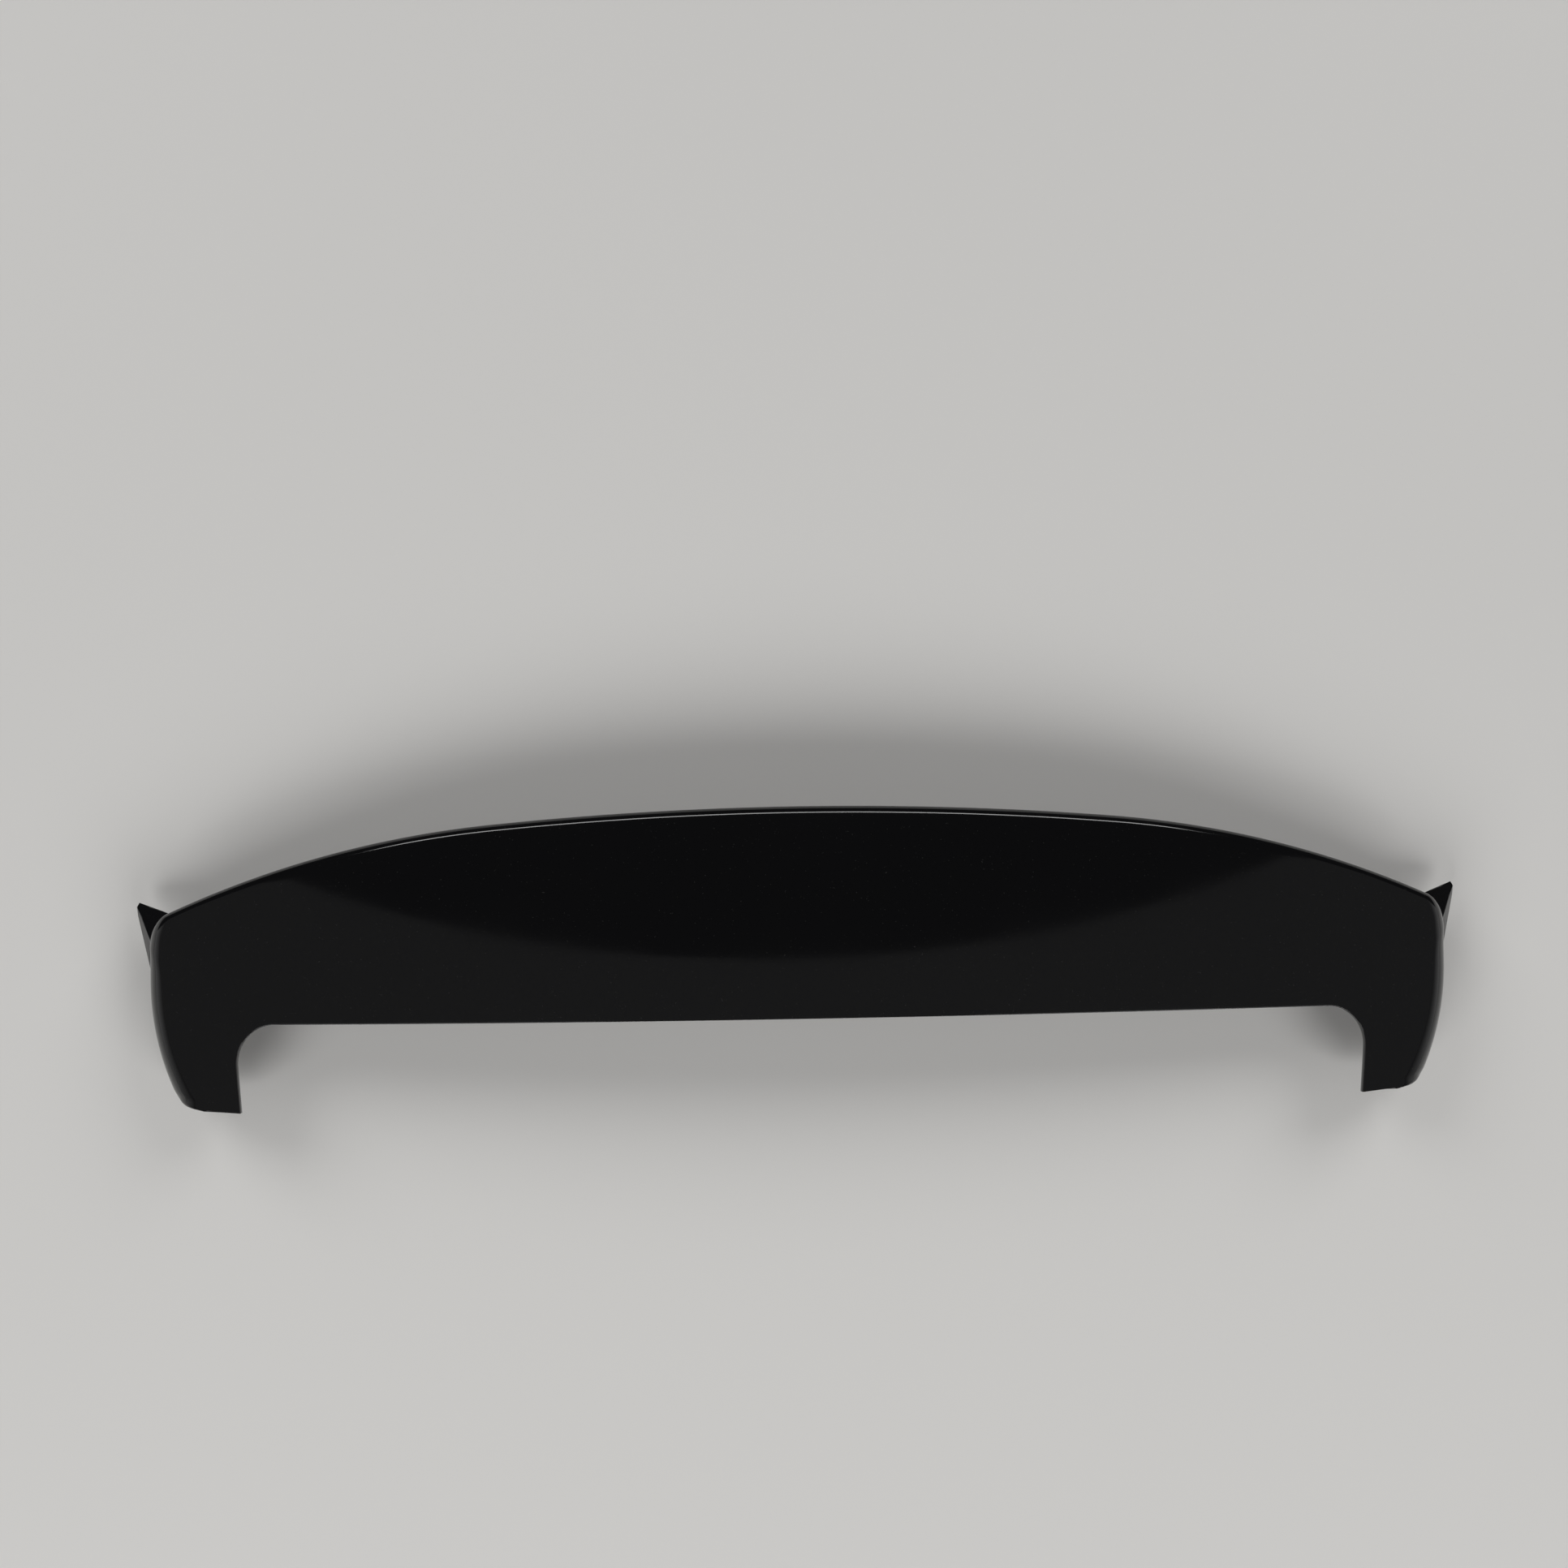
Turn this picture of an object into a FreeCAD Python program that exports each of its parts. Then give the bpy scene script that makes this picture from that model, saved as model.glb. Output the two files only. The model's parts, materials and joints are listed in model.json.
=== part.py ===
import FreeCAD, Part
import math
import os
import Sketcher

# Tailgate spoiler, millimetres. +Y points to the trailing edge, +Z out of the painted face.
# The origin is the centre of the stud pattern, on the face that meets the tailgate.
SIZES = {
    # plan outline of the right half
    "trailing_reach": 134.0,
    "trailing_radius": 3200.0,
    "trailing_break": 280.0,
    "end_radius": 950.0,
    "corner_radius": 34.0,
    "half_width": 598.0,
    "side_flat": 30.0,
    "side_radius": 250.0,
    "leg_corner_radius": 28.0,
    "leg_reach": 130.0,
    "leg_end_angle": 5.0,
    "leg_width": 90.0,
    "leg_inner_angle": 3.5,
    "bay_corner_radius": 36.0,
    "bay_edge": 54.0,
    # crown and section
    "crown_height": 62.0,
    "crown_radius": 3700.0,
    "section_radius": 1500.0,
    "underside_radius": 1250.0,
    "underside_low": 17.0,
    "underside_low_reach": 100.0,
    "stock_reach": 150.0,
    "stock_angle": 22.0,
    # moulding walls and the parting surface
    "wall": 2.8,
    "bond_gap": 0.3,
    "parting_rear": 46.0,
    "parting_shoulder": 50.5,
    "parting_hip": 32.0,
    "parting_front": 24.0,
    "shoulder_reach": 10.0,
    "hip_reach": 60.0,
    # edge rolls
    "trailing_roll": 7.0,
    "corner_roll": 14.0,
    "shoulder_roll": 22.0,
    "side_roll": 26.0,
    "leg_roll": 16.0,
    "underside_bevel": 5.0,
    "bay_lip": 6.0,
    "leg_undercut": 20.0,
    "inner_roll_least": 0.6,
    "inner_bevel_share": 0.75,
    # winglet, a wedge that hangs from the rear corner
    "wing_rear_inset": 18.5,
    "wing_rear_y": 46.5,
    "wing_knee_inset": 2.0,
    "wing_knee_y": 18.0,
    "wing_front_inset": 9.5,
    "wing_front_y": -42.0,
    "wing_inner_inset": 42.0,
    "wing_inner_y": 2.0,
    "wing_root_height": -4.0,
    "wing_flare": 20.0,
    "wing_tip_y": 51.5,
    "wing_drop": 26.0,
    "wing_tip_scale": 0.14,
    "wing_hollow_share": 0.8,
    "wing_wall": 2.4,
    # stud bosses, inserts, studs and seals
    "stud_spacing_x": 640.0,
    "stud_spacing_y": 50.0,
    "boss_diameter": 27.0,
    "boss_height": 17.0,
    "insert_diameter": 10.0,
    "insert_length": 11.0,
    "insert_recess": 3.0,
    "insert_rib_diameter": 11.2,
    "insert_rib_width": 3.0,
    "insert_clearance": 0.1,
    "stud_diameter": 6.0,
    "stud_end_diameter": 5.8,
    "stud_engagement": 9.0,
    "stud_length": 34.0,
    "stud_lead": 1.0,
    "stud_clearance": 0.05,
    "seal_thickness": 3.0,
    "seal_diameter": 26.0,
    "seal_bore": 17.0,
    # locating pins
    "pin_x": 150.0,
    "pin_y": 20.0,
    "pin_diameter": 8.0,
    "pin_lead": 2.0,
    "pin_reach": 14.0,
    "pin_root": 21.5,
    # leg clips and their bosses
    "clip_inset": 46.0,
    "clip_setback": 42.0,
    "clip_seat": -30.0,
    "clip_boss_diameter": 20.0,
    "clip_boss_height": 14.0,
    "clip_shank_diameter": 8.0,
    "clip_shank_length": 9.0,
    "clip_clearance": 0.1,
    "clip_flange_diameter": 18.0,
    "clip_flange_thickness": 1.6,
    "clip_stem_diameter": 5.0,
    "clip_fin_diameter": 9.0,
    "clip_fin_pitch": 3.2,
    "clip_tip_length": 4.0,
    # seal strip and buffer pads on the underside
    "strip_setback": 8.5,
    "strip_width": 9.0,
    "strip_base": 2.0,
    "strip_lip": 5.0,
    "strip_lip_width": 3.0,
    "strip_half_length": 450.0,
    "seat_gap": 0.3,
    "pad_x": 200.0,
    "pad_y": 80.0,
    "pad_width": 18.0,
    "pad_length": 60.0,
    "pad_foot": 14.0,
}

CLIP_FINS = 3

doc = FreeCAD.newDocument("tailgate_spoiler")
sheet = doc.addObject("Spreadsheet::Sheet", "sizes")
for row, (alias, value) in enumerate(SIZES.items(), 1):
    sheet.set(f"A{row}", alias)
    sheet.set(f"B{row}", str(value))
    sheet.setAlias(f"B{row}", alias)
doc.recompute()


def size(alias):
    """The value that a cell of the sheet holds."""
    return float(sheet.get(alias))


def new_sketch(body, name, role):
    """A sketch on one of the body's own origin planes."""
    plane = next(item for item in body.Origin.OriginFeatures if item.Role == role)
    sketch = body.newObject("Sketcher::SketchObject", name)
    sketch.AttachmentSupport = [(plane, "")]
    sketch.MapMode = "FlatFace"
    return sketch


def bind(sketch, constraint, name, expression):
    """Add a dimension and tie it to the sheet."""
    index = sketch.addConstraint(constraint)
    sketch.renameConstraint(index, name)
    sketch.setExpression(f"Constraints.{name}", expression)


def point(x, y):
    return FreeCAD.Vector(x, y, 0)


def line(start, end):
    return Part.LineSegment(point(*start), point(*end))


def arc(centre, radius, start, end):
    """A counter-clockwise arc between two angles in degrees."""
    circle = Part.Circle(point(*centre), FreeCAD.Vector(0, 0, 1), radius)
    return Part.ArcOfCircle(circle, math.radians(start), math.radians(end))


def polar(centre, radius, angle):
    turn = math.radians(angle)
    return (centre[0] + radius * math.cos(turn), centre[1] + radius * math.sin(turn))


def outline_sketch(body, name, inset):
    """Right half of the plan outline, drawn inside itself by the named inset."""
    gap = size(inset) if inset else 0.0
    less = f" - sizes.{inset}" if inset else ""
    more = f" + sizes.{inset}" if inset else ""
    times = f" * (1 - sizes.{inset} / sizes.trailing_radius)" if inset else ""
    end_turn = size("leg_end_angle")
    inner_turn = size("leg_inner_angle")

    # trailing edge: a flat arc over the middle, a tighter one to the corner
    trailing = size("trailing_radius") - gap
    trailing_centre = (0.0, size("trailing_reach") - size("trailing_radius"))
    break_turn = math.degrees(math.acos(size("trailing_break") / size("trailing_radius")))
    end = size("end_radius") - gap
    end_centre = polar(trailing_centre, size("trailing_radius") - size("end_radius"), break_turn)
    corner = size("corner_radius") - gap
    corner_x = size("half_width") - size("corner_radius")
    reach = size("end_radius") - size("corner_radius")
    corner_y = end_centre[1] + math.sqrt(reach ** 2 - (corner_x - end_centre[0]) ** 2)
    corner_turn = math.degrees(math.atan2(corner_y - end_centre[1], corner_x - end_centre[0]))

    # side and leg: a straight stretch, a long arc and the leg's outer corner
    side = size("side_radius") - gap
    side_x = size("half_width") - gap
    side_y = corner_y - size("side_flat")
    side_centre = (size("half_width") - size("side_radius"), side_y)
    leg = size("leg_corner_radius") - gap
    leg_y = size("leg_corner_radius") * math.cos(math.radians(end_turn)) - size("leg_reach")
    reach = size("side_radius") - size("leg_corner_radius")
    leg_x = side_centre[0] + math.sqrt(reach ** 2 - (leg_y - side_y) ** 2)
    leg_turn = math.degrees(math.atan2(leg_y - side_y, leg_x - side_centre[0]))
    leg_foot = polar((leg_x, leg_y), leg, -90.0 - end_turn)

    # pointed leg tip, inner side and the bay between the legs
    sharp = math.cos(math.radians(end_turn + inner_turn))
    tip_shift = gap * (math.cos(math.radians(end_turn)) + math.sin(math.radians(inner_turn))) / sharp
    tip_x = size("half_width") - size("leg_width") + tip_shift
    tip_y = leg_foot[1] - (leg_foot[0] - tip_x) * math.tan(math.radians(end_turn))
    bay = size("bay_corner_radius") + gap
    bay_y = -size("bay_edge") - size("bay_corner_radius")
    rise = bay_y - tip_y - bay * math.sin(math.radians(inner_turn))
    bay_x = tip_x + rise * math.tan(math.radians(inner_turn)) - bay * math.cos(math.radians(inner_turn))
    bay_side = polar((bay_x, bay_y), bay, -inner_turn)
    bay_edge = gap - size("bay_edge")

    sketch = new_sketch(body, name, "XY_Plane")
    sketch.addGeometry([
        arc(trailing_centre, trailing, break_turn, 90.0),
        arc(end_centre, end, corner_turn, break_turn),
        arc((corner_x, corner_y), corner, 0.0, corner_turn),
        line((side_x, corner_y), (side_x, side_y)),
        arc(side_centre, side, leg_turn, 0.0),
        arc((leg_x, leg_y), leg, -90.0 - end_turn, leg_turn),
        line((tip_x, tip_y), leg_foot),
        line((tip_x, tip_y), bay_side),
        arc((bay_x, bay_y), bay, -inner_turn, 90.0),
        line((bay_x, bay_edge), (0.0, bay_edge)),
        line((0.0, bay_edge), (0.0, size("trailing_reach") - gap)),
    ], False)
    joins = [(0, 1, 1, 2), (1, 1, 2, 2), (2, 1, 3, 1), (3, 2, 4, 2), (4, 1, 5, 2), (5, 1, 6, 2),
             (7, 2, 8, 1), (8, 2, 9, 1)]
    for join in joins:
        sketch.addConstraint(Sketcher.Constraint("Tangent", *join))
    sketch.addConstraint([
        Sketcher.Constraint("Coincident", 6, 1, 7, 1),
        Sketcher.Constraint("Coincident", 9, 2, 10, 1),
        Sketcher.Constraint("Coincident", 10, 2, 0, 2),
        Sketcher.Constraint("PointOnObject", 0, 3, -2),
        Sketcher.Constraint("PointOnObject", 10, 1, -2),
        Sketcher.Constraint("PointOnObject", 10, 2, -2),
        Sketcher.Constraint("Vertical", 3),
        Sketcher.Constraint("Horizontal", 9),
    ])
    radii = {0: "trailing_radius", 1: "end_radius", 2: "corner_radius", 4: "side_radius",
             5: "leg_corner_radius", 8: "bay_corner_radius"}
    for item, alias in radii.items():
        radius = sketch.Geometry[item].Radius
        change = more if alias == "bay_corner_radius" else less
        bind(sketch, Sketcher.Constraint("Radius", item, radius), alias, f"sizes.{alias}{change}")
    foot_less = f" - sizes.{inset} * cos(sizes.leg_end_angle * 1 deg)" if inset else ""
    turns = "(cos(sizes.leg_end_angle * 1 deg) + sin(sizes.leg_inner_angle * 1 deg))"
    sharp = "cos((sizes.leg_end_angle + sizes.leg_inner_angle) * 1 deg)"
    tip_more = f" + sizes.{inset} * {turns} / {sharp}" if inset else ""
    distances = [
        ("DistanceX", (-1, 1, 0, 1), "trailing_break", f"sizes.trailing_break{times}"),
        ("DistanceY", (-1, 1, 0, 2), "trailing_reach", f"sizes.trailing_reach{less}"),
        ("DistanceX", (-1, 1, 3, 1), "half_width", f"sizes.half_width{less}"),
        ("DistanceY", (3, 2, 3, 1), "side_flat", "sizes.side_flat"),
        ("DistanceY", (5, 1, -1, 1), "leg_reach", f"sizes.leg_reach{foot_less}"),
        ("DistanceX", (-1, 1, 7, 1), "leg_tip", f"sizes.half_width - sizes.leg_width{tip_more}"),
        ("DistanceY", (9, 1, -1, 1), "bay_edge", f"sizes.bay_edge{less}"),
    ]
    doc.recompute()
    for kind, ends, label, expression in distances:
        start = sketch.getPoint(ends[0], ends[1])
        finish = sketch.getPoint(ends[2], ends[3])
        length = (finish - start).x if kind == "DistanceX" else (finish - start).y
        bind(sketch, Sketcher.Constraint(kind, *ends, length), label, expression)
    angles = [(6, "leg_end_angle", "sizes.leg_end_angle * 1 deg", size("leg_end_angle")),
              (7, "leg_inner_angle", "(90 - sizes.leg_inner_angle) * 1 deg", 90.0 - size("leg_inner_angle"))]
    for item, label, expression, turn in angles:
        bind(sketch, Sketcher.Constraint("Angle", item, math.radians(turn)), label, expression)
    return sketch


def total(terms):
    """Add up terms of a factor and the sizes that it multiplies."""
    return sum(term[0] * math.prod(size(alias) for alias in term[1:]) for term in terms)


def formula(terms):
    """The same sum, written for a dimension."""
    products = []
    for term in terms:
        factors = [f"({term[0]})"] + [f"sizes.{alias}" for alias in term[1:]]
        products.append(" * ".join(factors))
    return " + ".join(products)


def one(alias):
    return [(1, alias)]


def half(alias):
    return [(0.5, alias)]


def pin_point(sketch, item, end, label, across, up):
    """Tie one point of a sketch to the sheet, across and up. No terms puts it on the axis."""
    if across:
        place = Sketcher.Constraint("DistanceX", -1, 1, item, end, total(across))
        bind(sketch, place, f"{label}_across", formula(across))
    else:
        sketch.addConstraint(Sketcher.Constraint("PointOnObject", item, end, -2))
    if up:
        place = Sketcher.Constraint("DistanceY", -1, 1, item, end, total(up))
        bind(sketch, place, f"{label}_up", formula(up))
    else:
        sketch.addConstraint(Sketcher.Constraint("PointOnObject", item, end, -1))


def polygon(body, name, role, corners):
    """A closed outline of straight lines through corners that the sheet places."""
    sketch = new_sketch(body, name, role)
    places = [(total(across), total(up)) for across, up in corners]
    count = len(corners)
    first = sketch.GeometryCount
    for index in range(count):
        sketch.addGeometry(line(places[index], places[(index + 1) % count]), False)
    for index in range(count):
        after = (index + 1) % count
        sketch.addConstraint(Sketcher.Constraint("Coincident", first + index, 2, first + after, 1))
    for index, (across, up) in enumerate(corners):
        pin_point(sketch, first + index, 1, f"corner_{index}", across, up)
    return sketch


def crown_axis(sketch):
    """The axis, far below, that the crowned faces turn about."""
    ends = [-size("stock_reach"), size("stock_reach")]
    height = size("crown_height") - size("crown_radius")
    axis = sketch.addGeometry(line((ends[0], height), (ends[1], height)), True)
    drop = [(1, "crown_height"), (-1, "crown_radius")]
    pin_point(sketch, axis, 1, "axis_front", [(-1, "stock_reach")], drop)
    pin_point(sketch, axis, 2, "axis_rear", one("stock_reach"), drop)


def revolve(body, name, sketch, axis, angle):
    feature = body.newObject("PartDesign::Revolution", name)
    feature.Profile = sketch
    feature.ReferenceAxis = (sketch, [axis])
    feature.setExpression("Angle", angle)
    return feature


def new_body(name):
    return doc.addObject("PartDesign::Body", name)


def turned(name, profile, across="0", along="0"):
    """A piece turned about its own upright axis, set at its place in plan."""
    body = new_body(name)
    sketch = polygon(body, f"{name}_profile", "XZ_Plane", profile)
    revolve(body, f"{name}_turn", sketch, "V_Axis", "360")
    body.setExpression("Placement.Base.x", across)
    body.setExpression("Placement.Base.y", along)
    return body


def joined(kind, name, base, tool):
    """A boolean of two objects, such as a cut or a common."""
    result = doc.addObject(f"Part::{kind}", name)
    result.Base = base
    result.Tool = tool
    return result


def fused(name, pieces):
    result = doc.addObject("Part::MultiFuse", name)
    result.Shapes = pieces
    return result


def mirrored(name, source, normal):
    result = doc.addObject("Part::Mirroring", name)
    result.Source = source
    result.Normal = normal
    return result


ACROSS = FreeCAD.Vector(1, 0, 0)
ALONG = FreeCAD.Vector(0, 1, 0)


def four_up(name, piece):
    """A piece at each corner of the stud pattern, as one group."""
    front = mirrored(f"{name}_front", piece, ALONG)
    group = doc.addObject("Part::Compound", name)
    group.Links = [piece, front, mirrored(f"{name}_rear_left", piece, ACROSS),
                   mirrored(f"{name}_front_left", front, ACROSS)]
    return group


def parting_block(name, gap, limit):
    """Everything on one side of the parting surface, which steps down from the rear corners to the legs."""
    lines = [("stock_reach", 1, "parting_rear"), ("shoulder_reach", 1, "parting_shoulder"),
             ("hip_reach", -1, "parting_hip"), ("stock_reach", -1, "parting_front")]
    corners = [([(side, reach)], one(height) + gap) for reach, side, height in lines]
    corners += [([(-1, "stock_reach")], limit), (one("stock_reach"), limit)]
    body = new_body(name)
    sketch = polygon(body, f"{name}_section", "YZ_Plane", corners)
    crown_axis(sketch)
    sweep = revolve(body, f"{name}_sweep", sketch, "Axis0", "sizes.stock_angle")
    sweep.Midplane = True
    return body


# lines of the plan outline, in the order they are drawn
OUTLINE = ["trailing", "end", "corner", "side", "flank", "leg_corner", "leg_end",
           "leg_inner", "bay_corner", "bay"]

# stations along the right half, from the middle to the leg tip: a line of the outline and how far
# along it, for the bay side and for the outer side, the outer roll and the share of the leg's undercut
STATIONS = [
    (("bay", 0.0), ("trailing", 0.0), "trailing_roll", 0.15),
    (("bay", 0.45), ("trailing", 0.8), "trailing_roll", 0.15),
    (("bay", 0.75), ("end", 0.45), "trailing_roll", 0.15),
    (("bay", 0.91), ("end", 0.8), "trailing_roll", 0.15),
    (("bay", 1.0), ("end", 1.0), "trailing_roll", 0.2),
    (("bay_corner", 0.3), ("corner", 0.4), "corner_roll", 0.4),
    (("bay_corner", 0.6), ("corner", 0.8), "shoulder_roll", 0.7),
    (("bay_corner", 0.9), ("side", 0.5), "side_roll", 0.95),
    (("leg_inner", 0.25), ("flank", 0.3), "side_roll", 1.0),
    (("leg_inner", 0.6), ("flank", 0.8), "side_roll", 1.0),
    (("leg_inner", 0.8), ("leg_corner", 0.15), "side_roll", 1.0),
    (("leg_inner", 0.92), ("leg_corner", 0.55), "leg_roll", 1.0),
    (("leg_inner", 1.0), ("leg_corner", 1.0), "leg_roll", 1.0),
]
ROUND = 0.5523
LOFT_DEGREE = 2


def crown_turn(height, across):
    """Height of a crowned face off the middle, from its height on the middle plane."""
    axis = size("crown_height") - size("crown_radius")
    return axis + math.sqrt((height - axis) ** 2 - across ** 2)


def top_height(place, gap):
    centre = size("crown_height") - size("section_radius")
    middle = centre + math.sqrt((size("section_radius") - gap) ** 2 - place.y ** 2)
    return crown_turn(middle, place.x)


def low_height(place, gap):
    centre = size("underside_low") + size("underside_radius")
    along = place.y + size("underside_low_reach")
    middle = centre - math.sqrt((size("underside_radius") - gap) ** 2 - along ** 2)
    return crown_turn(middle, place.x)


def outline_place(plan, item, share):
    """The point at a share of one line of the outline, counted from the middle towards the leg."""
    curve = plan.Geometry[OUTLINE.index(item)]
    part = share if item == "side" else 1.0 - share
    return curve.value(curve.FirstParameter + part * (curve.LastParameter - curve.FirstParameter))


def rounded(start, corner, end):
    """A quarter curve, in two halves, from start to end, that leaves along the corner's two sides."""
    halves = []
    for first, last in ((0.0, 0.5), (0.5, 1.0)):
        curve = Part.BezierCurve()
        curve.setPoles([start, start + (corner - start) * ROUND, end + (corner - end) * ROUND, end])
        curve.segment(first, last)
        halves.append(curve.toShape())
    return halves


def station_wire(inner, outer, roll, undercut, gap):
    """Closed section from the bay side to the outer edge. Inside the wall the roll is a plain bevel."""
    bevel = max(size("underside_bevel") - gap, size("inner_roll_least"))
    top_roll = max(roll - gap, size("inner_roll_least"))
    if gap:
        top_roll *= size("inner_bevel_share")
    along = (outer - inner).normalize()

    def top(place):
        return FreeCAD.Vector(place.x, place.y, top_height(place, gap))

    def low(place):
        return FreeCAD.Vector(place.x, place.y, low_height(place, gap))

    # the bay side drops from a short lip and then leans back under the face
    lip_foot = top_height(inner, 0.0) - size("bay_lip")
    fall = lip_foot - low_height(inner, 0.0)
    lip_foot += gap * (math.hypot(undercut, fall) - fall) / undercut
    lean = undercut * (lip_foot - low_height(inner, gap)) / fall
    foot = inner + along * lean

    up = FreeCAD.Vector(0, 0, 1)
    roll_start = outer - along * top_roll
    bevel_start = outer - along * bevel
    roll_end = top(outer) - up * top_roll
    bevel_end = low(outer) + up * bevel
    lip_end = FreeCAD.Vector(inner.x, inner.y, lip_foot)
    edge_roll = rounded(top(roll_start), top(outer), roll_end)
    if gap:
        edge_roll = [Part.makeLine(top(roll_start), roll_end)]
    edges = [
        Part.makeLine(low(foot), lip_end),
        Part.makeLine(lip_end, top(inner)),
        Part.Arc(top(inner), top((inner + roll_start) / 2), top(roll_start)).toShape(),
        *edge_roll,
        Part.makeLine(roll_end, bevel_end),
        Part.makeLine(bevel_end, low(bevel_start)),
        Part.Arc(low(bevel_start), low((foot + bevel_start) / 2), low(foot)).toShape(),
    ]
    return Part.Wire(edges)


def flipped(place):
    return FreeCAD.Vector(-place.x, place.y, place.z)


def envelope(name, inset):
    """The closed form of the spoiler's body, leg to leg, drawn inside itself by the named inset."""
    plan = outline_sketch(new_body(f"{name}_plan"), f"{name}_outline", inset)
    doc.recompute()
    gap = size(inset) if inset else 0.0
    right = []
    left = []
    for bay_side, outer_side, roll, share in STATIONS:
        inner = outline_place(plan, *bay_side)
        outer = outline_place(plan, *outer_side)
        sizes = (size(roll), share * size("leg_undercut"), gap)
        right.append(station_wire(inner, outer, *sizes))
        left.append(station_wire(flipped(inner), flipped(outer), *sizes))
    form = doc.addObject("Part::Feature", name)
    form.Shape = Part.makeLoft(left[:0:-1] + right, True, False, False, LOFT_DEGREE)
    return form


def blended(root, tip, share):
    """Terms on the way from a root place to a tip place, at a named share, or at 0 or 1."""
    if share == 0:
        return root
    if share == 1:
        return tip
    less = [(-term[0], share) + term[1:] for term in root]
    more = [(term[0], share) + term[1:] for term in tip]
    return root + less + more


def wing_corners(share):
    """Corners of the winglet's section at a share of its depth, from 0 at the root to 1 at the tip."""
    corners = []
    for place in ["rear", "knee", "front", "inner"]:
        root_x = [(1, "half_width"), (-1, f"wing_{place}_inset")]
        tip_x = [(1, "half_width"), (1, "wing_flare"), (1, "wing_tip_scale", "wing_knee_inset"),
                 (-1, "wing_tip_scale", f"wing_{place}_inset")]
        root_y = one(f"wing_{place}_y")
        tip_y = [(1, "wing_tip_y"), (1, "wing_tip_scale", f"wing_{place}_y"),
                 (-1, "wing_tip_scale", "wing_knee_y")]
        corners.append((blended(root_x, tip_x, share), blended(root_y, tip_y, share)))
    return corners


def inset_polygon(body, name, corners, inset):
    """A closed outline drawn inside the given corners, each line parallel to its own and the inset away."""
    sketch = polygon(body, name, "XY_Plane", corners)
    count = len(corners)
    for index in range(count):
        sketch.setConstruction(index, True)
    places = [FreeCAD.Vector(total(across), total(up), 0) for across, up in corners]
    middle = sum(places, FreeCAD.Vector()) / count
    inside = [place + (middle - place) * 0.2 for place in places]
    for index in range(count):
        after = inside[(index + 1) % count]
        sketch.addGeometry(Part.LineSegment(inside[index], after), False)
    for index in range(count):
        after = (index + 1) % count
        sketch.addConstraint(Sketcher.Constraint("Coincident", count + index, 2, count + after, 1))
        sketch.addConstraint(Sketcher.Constraint("Parallel", count + index, index))
        away = Sketcher.Constraint("Distance", count + index, 1, index, size(inset))
        bind(sketch, away, f"inset_{index}", f"sizes.{inset}")
    return sketch


def wedge(name, root_sketch, end_sketch, body, depth):
    """A straight-sided loft between two sections of the winglet."""
    root_sketch.setExpression("AttachmentOffset.Base.z", "sizes.wing_root_height")
    end_sketch.setExpression("AttachmentOffset.Base.z", depth)
    loft = body.newObject("PartDesign::AdditiveLoft", name)
    loft.Profile = root_sketch
    loft.Sections = [end_sketch]
    loft.Ruled = True
    return body


def tube(radius, bottom, top, bore=None):
    """Corners of a turned ring or, with no bore, of a turned disc."""
    inside = bore if bore else []
    return [(inside, bottom), (radius, bottom), (radius, top), (inside, top)]


STUD_X = "sizes.stud_spacing_x / 2"
STUD_Y = "sizes.stud_spacing_y / 2"
CLIP_X = "sizes.half_width - sizes.clip_inset"
CLIP_Y = "sizes.clip_setback - sizes.leg_reach"

form = envelope("form", "")
core = envelope("core", "wall")
above = parting_block("above_parting", [], [(1, "crown_height"), (1, "stock_reach")])
below = parting_block("below_parting", [(-1, "bond_gap")], [(-1, "stock_reach")])
upper_shell = joined("Common", "upper_shell", joined("Cut", "shell", form, core), above)

# winglets, hollow wedges that open into the body
wing = new_body("wing")
wing_root = polygon(wing, "wing_root", "XY_Plane", wing_corners(0))
wing_end = polygon(wing, "wing_end", "XY_Plane", wing_corners(1))
wedge("wing_wedge", wing_root, wing_end, wing, "-sizes.wing_drop")
hollow = new_body("wing_hollow")
hollow_root = inset_polygon(hollow, "hollow_root", wing_corners(0), "wing_wall")
hollow_end = inset_polygon(hollow, "hollow_end", wing_corners("wing_hollow_share"), "wing_wall")
wing_depth = "(sizes.wing_root_height + sizes.wing_drop)"
hollow_depth = f"sizes.wing_root_height - sizes.wing_hollow_share * {wing_depth}"
wedge("hollow_wedge", hollow_root, hollow_end, hollow, hollow_depth)
winged_form = fused("winged_form", [form, wing, mirrored("wing_left", wing, ACROSS)])
winged_core = fused("winged_core", [core, hollow, mirrored("wing_hollow_left", hollow, ACROSS)])
pan = joined("Common", "pan", joined("Cut", "winged_shell", winged_form, winged_core), below)

# stud and clip bosses and locating pins of the lower shell
boss_top = one("seal_thickness") + one("boss_height")
boss = turned("boss", tube(half("boss_diameter"), one("seal_thickness"), boss_top), STUD_X, STUD_Y)
bosses = four_up("bosses", boss)
clip_top = one("clip_seat") + one("clip_boss_height")
clip_boss = turned("clip_boss", tube(half("clip_boss_diameter"), one("clip_seat"), clip_top), CLIP_X, CLIP_Y)
pin_low = [(-1, "pin_reach")]
pin_lead = [(-1, "pin_reach"), (1, "pin_lead")]
pin_narrow = [(0.5, "pin_diameter"), (-0.5, "pin_lead")]
pin_profile = [([], pin_low), (pin_narrow, pin_low), (half("pin_diameter"), pin_lead),
               (half("pin_diameter"), one("pin_root")), ([], one("pin_root"))]
pin = turned("pin", pin_profile, "sizes.pin_x", "sizes.pin_y")
clip_boss_left = mirrored("clip_boss_left", clip_boss, ACROSS)
pin_left = mirrored("pin_left", pin, ACROSS)
filled = fused("filled_pan", [pan, bosses, clip_boss, clip_boss_left, pin, pin_left])

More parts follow.
